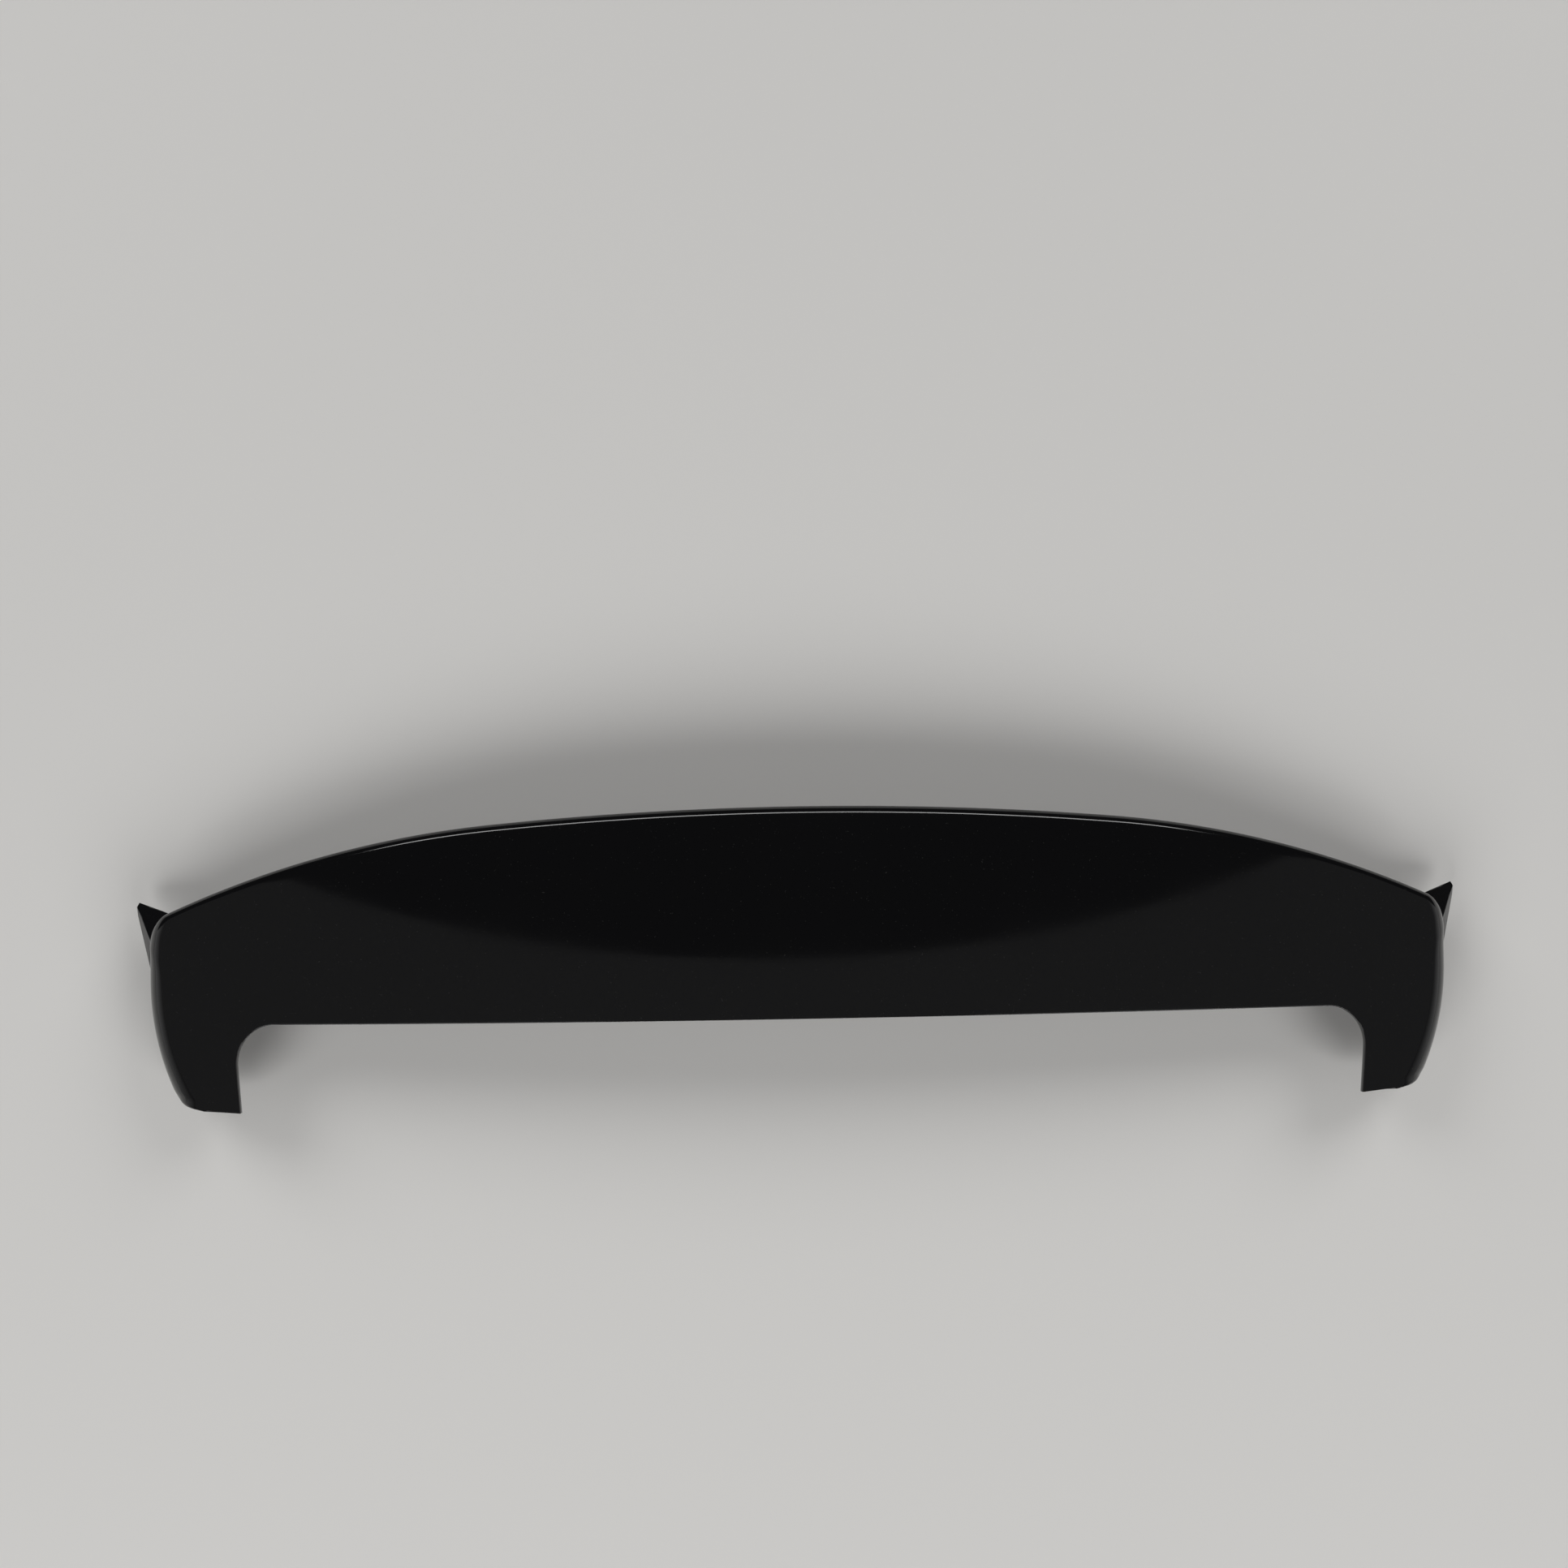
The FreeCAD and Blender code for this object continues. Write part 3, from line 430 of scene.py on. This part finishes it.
def skinRow(p, inner, outer, roll, undercut, gap):
    # one section, from the undercut bay side over the lip and the top to the outer rim
    along = (outer - inner).normalized()
    inner = inner + along * gap
    outer = outer - along * gap
    roll = max(roll - gap, p["leastRoll"])
    edge = p["bayEdgeRound"]
    innerTop = topHeight(p, inner, gap)
    lipFoot = topHeight(p, inner) - p["bayLip"] + gap * p["lipGapShare"]
    lean = along * undercut / (lipFoot - lowHeight(p, inner))
    fall = lipFoot - partingHeight(p, inner)
    row = []
    for k in range(p["wallColumns"], 0, -1):
        drop = fall * k / p["wallColumns"]
        row.append(Vector((*(inner + lean * drop), lipFoot - drop)))
    row.append(Vector((*inner, lipFoot)))
    lipTop = Vector((*inner, innerTop - edge))
    row.append(lipTop)
    start = inner + along * edge
    startTop = Vector((*start, topHeight(p, start, gap)))
    for t in p["bayEdgeSteps"]:
        row.append(bezier(lipTop, Vector((*inner, innerTop)), startTop, t))
    rollStart = outer - along * roll
    for k in range(p["topColumns"]):
        spot = start.lerp(rollStart, k / p["topColumns"])
        row.append(Vector((*spot, topHeight(p, spot, gap))))
    last = rimShare(p, inner, outer, roll)
    for k in range(p["rollColumns"] + 1):
        share = k / p["rollColumns"]
        spot = outerEdge(p, inner, outer, roll, last * share)
        row.append(spot - Vector((0, 0, gap * (1 - share))))
    return row


def waved(p, row, nearEnd):
    # a shallow dip and a bulge across the leg's end, fading out up the leg
    low, high = p["waveSpan"]
    inner, outer = row[0].x, row[-1].x
    for spot in row:
        share = ((spot.x - inner) / (outer - inner) - low) / (high - low)
        if 0.0 < share < 1.0:
            wave = math.sin(2 * math.pi * share) * math.sin(math.pi * share)
            moved = Vector((spot.x, spot.y + p["waveDepth"] * wave * nearEnd ** 2))
            spot.z += topHeight(p, moved) - topHeight(p, spot)
            spot.y = moved.y
    return row


def buildSkin(p):
    outerPath, innerPath = planPaths(p)
    along = [distanceAt(outerPath, *station[1]) for station in stations]
    bayPlace = easedThrough(along, [distanceAt(innerPath, *station[0]) for station in stations])
    rollAt = easedThrough(along, [station[2] for station in stations])
    shareAt = easedThrough(along, [station[3] for station in stations])
    total = along[-1]
    count = round(total / p["rowStep"])
    mesh = bmesh.new()
    grids = []
    for gap in (0.0, p["wall"]):
        half = []
        last = total - p["endGap"] if gap else total
        for k in range(count + 1):
            distance = last * k / count
            inner = placeAt(innerPath, bayPlace(distance))
            outer = placeAt(outerPath, distance)
            undercut = shareAt(distance) * p["legUndercut"]
            row = skinRow(p, inner, outer, rollAt(distance), undercut, gap)
            nearEnd = max(0.0, 1.0 - (total - distance) / p["waveFade"])
            half.append(row if gap else waved(p, row, nearEnd))
        rows = [[Vector((-spot.x, spot.y, spot.z)) for spot in row] for row in half[:0:-1]] + half
        grids.append([[mesh.verts.new(spot * mm) for spot in row] for row in rows])
    outside, inside = grids
    for grid, turn in ((outside, 1), (inside, -1)):
        for first, second in zip(grid, grid[1:]):
            for k in range(len(first) - 1):
                mesh.faces.new([first[k], second[k], second[k + 1], first[k + 1]][::turn])
    for side in (0, -1):  # rims along the bay wall and the outer wall
        rim = [(outRow[side], inRow[side]) for outRow, inRow in zip(outside, inside)]
        for (first, firstIn), (second, secondIn) in zip(rim, rim[1:]):
            mesh.faces.new([first, second, secondIn, firstIn])
    for end in (0, -1):  # leg ends, closed inside and out
        mesh.faces.new(outside[end])
        mesh.faces.new(inside[end])
        mesh.faces.new([outside[end][0], outside[end][-1], inside[end][-1], inside[end][0]])
    bmesh.ops.recalc_face_normals(mesh, faces=mesh.faces)
    return mesh


def finishPiece(name, mesh, slot, nodes, sharp):
    data = bpy.data.meshes.new(name)
    mesh.to_mesh(data)
    mesh.free()
    data.polygons.foreach_set("use_smooth", [True] * len(data.polygons))
    data.set_sharp_from_angle(angle=math.radians(sharp))
    data.materials.append(finishes[slot])
    piece = bpy.data.objects.new(name, data)
    bpy.context.collection.objects.link(piece)
    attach(piece, "root")
    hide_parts(*nodes)
    return piece


finishPiece("paintedSkin", buildSkin(skin), "gloss_paint", ["upper_shell"], skin["sharpAngle"])
print("painted skin built")


# lower shell, split by finish into the satin pan and the painted winglets

weldGap = 1e-6  # metres


def weldedCopy(node):
    # joins the solid's faces, so that they shade smoothly
    mesh = bmesh.new()
    mesh.from_mesh(cad[node].data)
    bmesh.ops.remove_doubles(mesh, verts=mesh.verts, dist=weldGap)
    return mesh


pan = {
    "sampleStep": 1.0,
    "setIn": 0.2,  # how far the pan's wall stays inside the painted rim
    "reach": 1.6,  # a wall up to this far outside the plan is set in
    "wingFrom": 566.0,  # winglets lie beyond this, from the middle plane
    "sharpAngle": 30.0,
}


def planTree(p, step):
    path = planPaths(p)[0]
    total = sum(length for label, length, place in path)
    count = round(total / step)
    spots = [placeAt(path, total * k / count) for k in range(count + 1)]
    tree = kdtree.KDTree(len(spots))
    for k, spot in enumerate(spots):
        tree.insert((*spot, 0.0), k)
    tree.balance()
    return tree, spots


def outsideBy(tree, spots, place):
    # signed distance from the plan outline, and the way out
    k = tree.find((abs(place.x), place.y, 0.0))[1]
    ahead = spots[min(k + 1, len(spots) - 1)] - spots[max(k - 1, 0)]
    out = Vector((-ahead.y, ahead.x)).normalized()
    away = Vector((abs(place.x), place.y)) - spots[k]
    return away.dot(out), Vector((math.copysign(out.x, place.x), out.y, 0.0))


def closeSeams(mesh):
    # the ring that each winglet leaves in the wall, and its match on the winglet
    for side in (-1, 1):
        rim = [edge for edge in mesh.edges if edge.is_boundary and edge.verts[0].co.x * side > 0]
        ring = bmesh.ops.bridge_loops(mesh, edges=rim)["faces"]
        beside = [(loop, loop.link_loop_radial_next) for face in ring for loop in face.loops]
        if any(first.vert == second.vert for first, second in beside if second.face not in ring):
            bmesh.ops.reverse_faces(mesh, faces=ring)


def splitPan(p, tree, spots):
    mesh = weldedCopy("lower_shell")
    for vert in mesh.verts:
        place = vert.co / mm
        distance, out = outsideBy(tree, spots, place)
        if -p["setIn"] < distance < p["reach"]:
            vert.co -= out * (distance + p["setIn"]) * mm
    wings = mesh.copy()
    for part, keepWings in ((mesh, False), (wings, True)):
        drop = []
        for face in part.faces:
            place = face.calc_center_median() / mm
            isWing = abs(place.x) > p["wingFrom"] and outsideBy(tree, spots, place)[0] > 0
            if isWing != keepWings:
                drop.append(face)
        bmesh.ops.delete(part, geom=drop, context="FACES")
        closeSeams(part)
    return mesh, wings


panMesh, wingMesh = splitPan(pan, *planTree(skin, pan["sampleStep"]))
finishPiece("lowerPan", panMesh, "grained_plastic", ["lower_shell"], pan["sharpAngle"])
finishPiece("winglets", wingMesh, "gloss_paint", ["lower_shell"], pan["sharpAngle"])
print("pan and winglets built")


# threaded studs, one thread sweep set at the four corners of the pattern

stud = {
    "spacingX": 640.0, "spacingY": 50.0,
    "crestRadius": 3.0, "threadDepth": 0.5, "pitch": 1.0,
    "low": -19.0, "lead": 1.0, "shoulder": 3.0, "top": 15.0, "endRadius": 2.9,
    "leadShare": 0.98,  # keeps the lead's rim clear of the thread's core
    "sides": 32, "ridgeSides": 4,
    "weldGap": 1e-7,  # metres
    "sharpAngle": 40.0,
}
studLengths = {  # the node tree's inputs, and the sizes they take
    "Spacing X": "spacingX", "Spacing Y": "spacingY", "Crest Radius": "crestRadius",
    "Thread Depth": "threadDepth", "Pitch": "pitch", "Low": "low", "Lead": "lead",
    "Shoulder": "shoulder", "Top": "top", "End Radius": "endRadius",
}


def newTree(name, inputs):
    tree = bpy.data.node_groups.new(name, "GeometryNodeTree")
    sockets = {}
    for label, kind in inputs:
        socket = tree.interface.new_socket(label, in_out="INPUT", socket_type=kind)
        sockets[label] = socket.identifier
    tree.interface.new_socket("Geometry", in_out="OUTPUT", socket_type="NodeSocketGeometry")
    return tree, sockets, tree.nodes.new("NodeGroupInput"), tree.nodes.new("NodeGroupOutput")


def linked(tree, kind, given):
    node = tree.nodes.new(kind)
    for label, socket in given.items():
        tree.links.new(socket, node.inputs[label])
    return node


def mathNode(tree, operation, first, second):
    node = linked(tree, "ShaderNodeMath", {0: first, 1: second})
    node.operation = operation
    return node.outputs[0]


def raised(tree, geometry, height):
    lift = linked(tree, "ShaderNodeCombineXYZ", {"Z": height}).outputs["Vector"]
    move = linked(tree, "GeometryNodeTransform", {"Geometry": geometry, "Translation": lift})
    return move.outputs["Geometry"]


def turnedRod(tree, sides, lowRadius, topRadius, low, top):
    depth = mathNode(tree, "SUBTRACT", top, low)
    rod = linked(tree, "GeometryNodeMeshCone", {
        "Vertices": sides, "Radius Top": topRadius, "Radius Bottom": lowRadius, "Depth": depth})
    return raised(tree, rod.outputs["Mesh"], low)


def studTree():
    inputs = [(label, "NodeSocketFloat") for label in (*studLengths, "Lead Share")]
    inputs += [(label, "NodeSocketInt") for label in ("Sides", "Ridge Sides")]
    inputs.append(("Material", "NodeSocketMaterial"))
    tree, sockets, given, result = newTree("threadedStuds", inputs)
    size = given.outputs
    sides, end = size["Sides"], size["End Radius"]
    root = mathNode(tree, "SUBTRACT", size["Crest Radius"], size["Thread Depth"])
    slim = mathNode(tree, "SUBTRACT", root, size["Thread Depth"])
    leadTop = mathNode(tree, "MULTIPLY", root, size["Lead Share"])
    threadLow = mathNode(tree, "ADD", size["Low"], size["Lead"])
    run = mathNode(tree, "SUBTRACT", size["Shoulder"], threadLow)
    turns = mathNode(tree, "DIVIDE", run, size["Pitch"])
    spiral = linked(tree, "GeometryNodeCurveSpiral", {
        "Resolution": sides, "Rotations": turns,
        "Start Radius": root, "End Radius": root, "Height": run})
    upright = linked(tree, "GeometryNodeSetCurveNormal", {"Curve": spiral.outputs["Curve"]})
    upright.mode = "Z_UP"
    ridge = linked(tree, "GeometryNodeCurvePrimitiveCircle", {
        "Resolution": size["Ridge Sides"], "Radius": size["Thread Depth"]})
    sweep = linked(tree, "GeometryNodeCurveToMesh", {
        "Curve": upright.outputs["Curve"], "Profile Curve": ridge.outputs["Curve"]})
    sweep.inputs["Fill Caps"].default_value = True
    parts = [
        raised(tree, sweep.outputs["Mesh"], threadLow),
        turnedRod(tree, sides, root, root, threadLow, size["Shoulder"]),
        turnedRod(tree, sides, slim, leadTop, size["Low"], threadLow),
        turnedRod(tree, sides, end, end, size["Shoulder"], size["Top"]),
    ]
    join = tree.nodes.new("GeometryNodeJoinGeometry")
    for part in parts:
        tree.links.new(part, join.inputs["Geometry"])
    corners = linked(tree, "GeometryNodeMeshGrid", {
        "Size X": size["Spacing X"], "Size Y": size["Spacing Y"]})
    for label in ("Vertices X", "Vertices Y"):
        corners.inputs[label].default_value = 2  # a stud at each corner
    place = linked(tree, "GeometryNodeInstanceOnPoints", {
        "Points": corners.outputs["Mesh"], "Instance": join.outputs["Geometry"]})
    real = linked(tree, "GeometryNodeRealizeInstances", {"Geometry": place.outputs["Instances"]})
    finish = linked(tree, "GeometryNodeSetMaterial", {
        "Geometry": real.outputs["Geometry"], "Material": size["Material"]})
    tree.links.new(finish.outputs["Geometry"], result.inputs["Geometry"])
    return tree, sockets


def plainMesh(name, tree, sockets, values, gap):
    holder = bpy.data.objects.new(name + "Holder", bpy.data.meshes.new(name + "Holder"))
    bpy.context.collection.objects.link(holder)
    modifier = holder.modifiers.new("nodes", "NODES")
    modifier.node_group = tree
    for label, value in values.items():
        modifier[sockets[label]] = value
    evaluated = holder.evaluated_get(bpy.context.evaluated_depsgraph_get())
    data = bpy.data.meshes.new_from_object(evaluated)
    holder.modifiers.remove(modifier)
    bpy.data.objects.remove(holder)
    mesh = bmesh.new()
    mesh.from_mesh(data)
    bmesh.ops.remove_doubles(mesh, verts=mesh.verts, dist=gap)
    bmesh.ops.recalc_face_normals(mesh, faces=mesh.faces)
    return mesh


def buildStuds(p):
    tree, sockets = studTree()
    values = {label: p[key] * mm for label, key in studLengths.items()}
    values["Lead Share"] = p["leadShare"]
    values["Sides"] = p["sides"]
    values["Ridge Sides"] = p["ridgeSides"]
    values["Material"] = finishes["stud_steel"]
    return plainMesh("studs", tree, sockets, values, p["weldGap"])


finishPiece("threadedStuds", buildStuds(stud), "stud_steel", ["mounting_studs"], stud["sharpAngle"])
print("studs threaded")


# inserts, seals, clips and pads keep the solids' shapes

underside = {"sharpAngle": 30.0, "builtAbove": {"upper_shell", "lower_shell", "mounting_studs"}}
slotOf = {entry["node"]: entry["material_slot"] for entry in frame["record"]["subparts"]}
for node in sorted(set(cad) - underside["builtAbove"]):
    finishPiece(node + "Piece", weldedCopy(node), slotOf[node], [node], underside["sharpAngle"])
print("underside pieces welded")


# floor, lamps and the cards that the paint mirrors

studio = {
    "floorDrop": 0.0015,
    "floorSize": 12.0,
    "floorColour": (0.72, 0.71, 0.69),
    "floorRoughness": 0.8,
    "farColour": (0.54, 0.535, 0.525),  # what the camera sees beyond the lit floor
    "farSpan": (2.2, 4.2),
    "worldColour": (0.05, 0.05, 0.052),
    "lamps": [  # place, size, watts and whether the paint mirrors it
        ((-1.9, -2.6, 2.3), 2.4, 62.0, True),
        ((2.0, -2.6, 2.3), 2.4, 60.0, True),
        ((-2.4, 2.3, 2.1), 2.2, 45.0, False),
        ((2.2, 2.5, 2.2), 2.2, 45.0, False),
    ],
    "cardHeight": 2.0,
    "cardEdge": -0.14,  # its near edge on the middle plane
    "cardBow": 0.15,  # how its edge bends back to the sides
    "cardReach": 2.4,
    "cardSteps": 24,
    "cardStrength": 0.165,
    "sidePlace": 3.4,  # upright cards that the side rolls mirror
    "sideRear": 0.45,
    "sideFront": -2.4,
    "sideTop": 3.1,
    "sideGlow": (0.75, 0.165),  # at the floor and at the top
    "sideFade": (-2.2, -0.5),  # dims towards the legs' ends
    "sideLeast": 0.1,  # share of the glow that is left there
    "stripHeight": 2.0,  # strip that draws the line along the trailing edge
    "stripReach": 1.6,
    "stripSpan": (1.1, 1.6),
    "stripStrength": 8.0,
}


def addFloor(s):
    half = s["floorSize"] / 2
    height = cadBox[0][2] - s["floorDrop"]
    data = bpy.data.meshes.new("floor")
    corners = [(x * half, y * half, height) for x, y in ((-1, -1), (1, -1), (1, 1), (-1, 1))]
    data.from_pydata(corners, [], [(0, 1, 2, 3)])
    material, nodes, links, shader = startMaterial("paleFloor")
    shader.inputs["Base Color"].default_value = (*s["floorColour"], 1.0)
    shader.inputs["Roughness"].default_value = s["floorRoughness"]
    coords = nodes.new("ShaderNodeTexCoord")
    away = nodes.new("ShaderNodeVectorMath")
    away.operation = "LENGTH"
    links.new(coords.outputs["Object"], away.inputs[0])
    beyond = ramp(nodes, links, away.outputs["Value"], *s["farSpan"], 0.0, 1.0)
    seen = nodes.new("ShaderNodeLightPath").outputs["Is Camera Ray"]
    share = mathNode(material.node_tree, "MULTIPLY", beyond, seen)
    far = nodes.new("ShaderNodeEmission")
    far.inputs["Color"].default_value = (*s["farColour"], 1.0)
    mix = nodes.new("ShaderNodeMixShader")
    links.new(share, mix.inputs[0])
    links.new(shader.outputs["BSDF"], mix.inputs[1])
    links.new(far.outputs["Emission"], mix.inputs[2])
    links.new(mix.outputs["Shader"], nodes["Material Output"].inputs["Surface"])
    data.materials.append(material)
    floor = bpy.data.objects.new("floor", data)
    bpy.context.collection.objects.link(floor)


def addLamps(s):
    for index, (place, size, watts, mirrored) in enumerate(s["lamps"]):
        data = bpy.data.lights.new(f"lamp{index}", "AREA")
        data.shape = "DISK"
        data.size = size
        data.energy = watts
        lamp = bpy.data.objects.new(f"lamp{index}", data)
        lamp.location = place
        lamp.visible_glossy = mirrored
        lamp.rotation_euler = (-Vector(place)).to_track_quat("-Z", "Y").to_euler()
        bpy.context.collection.objects.link(lamp)


def mirrorOnly(name, verts, faces, material):
    data = bpy.data.meshes.new(name)
    data.from_pydata(verts, [], faces)
    data.materials.append(material)
    card = bpy.data.objects.new(name, data)
    card.visible_camera = False
    card.visible_diffuse = False
    card.visible_shadow = False
    bpy.context.collection.objects.link(card)


def glow(name):
    material, *rest, shader = startMaterial(name)
    shader.inputs["Base Color"].default_value = (0.0, 0.0, 0.0, 1.0)
    shader.inputs["Emission Color"].default_value = (1.0, 1.0, 1.0, 1.0)
    return material, shader.inputs["Emission Strength"]


def evenGlow(name, value):
    material, strength = glow(name)
    strength.default_value = value
    return material


def addCard(s):
    steps, reach = s["cardSteps"], s["cardReach"]
    near = []
    far = []
    for k in range(steps + 1):
        across = reach * (2 * k / steps - 1)
        near.append((across, s["cardEdge"] + s["cardBow"] * across ** 2, s["cardHeight"]))
        far.append((across, -reach, s["cardHeight"]))
    faces = [(k, k + 1, steps + 2 + k, steps + 1 + k) for k in range(steps)]
    mirrorOnly("card", near + far, faces, evenGlow("paleCard", s["cardStrength"]))


def addSideCards(s):
    material, strength = glow("sideCard")
    nodes, links = material.node_tree.nodes, material.node_tree.links
    coords = nodes.new("ShaderNodeTexCoord")
    split = nodes.new("ShaderNodeSeparateXYZ")
    links.new(coords.outputs["Object"], split.inputs["Vector"])
    upward = ramp(nodes, links, split.outputs["Z"], 0.0, s["sideTop"], *s["sideGlow"])
    rearward = ramp(nodes, links, split.outputs["Y"], *s["sideFade"], s["sideLeast"], 1.0)
    links.new(mathNode(material.node_tree, "MULTIPLY", upward, rearward), strength)
    for side in (-1, 1):
        x = side * s["sidePlace"]
        corners = [(x, s["sideFront"], 0.0), (x, s["sideRear"], 0.0),
                   (x, s["sideRear"], s["sideTop"]), (x, s["sideFront"], s["sideTop"])]
        mirrorOnly(f"sideCard{side}", corners, [(0, 1, 2, 3)], material)


def addStrip(s):
    (near, far), reach = s["stripSpan"], s["stripReach"]
    plan = ((-reach, near), (reach, near), (reach, far), (-reach, far))
    corners = [(x, y, s["stripHeight"]) for x, y in plan]
    mirrorOnly("rearStrip", corners, [(0, 1, 2, 3)], evenGlow("rearStrip", s["stripStrength"]))


def setWorld(s):
    world = bpy.data.worlds.new("studio")
    world.use_nodes = True
    nodes, links = world.node_tree.nodes, world.node_tree.links
    seen = nodes.new("ShaderNodeLightPath").outputs["Is Camera Ray"]
    colour = colourMix(nodes, links, seen, s["worldColour"], s["farColour"])
    links.new(colour, nodes["Background"].inputs["Color"])
    bpy.context.scene.world = world


addFloor(studio)
addLamps(studio)
addStrip(studio)
addCard(studio)
addSideCards(studio)
setWorld(studio)
bpy.context.scene.view_settings.view_transform = "Standard"
print("studio lit")
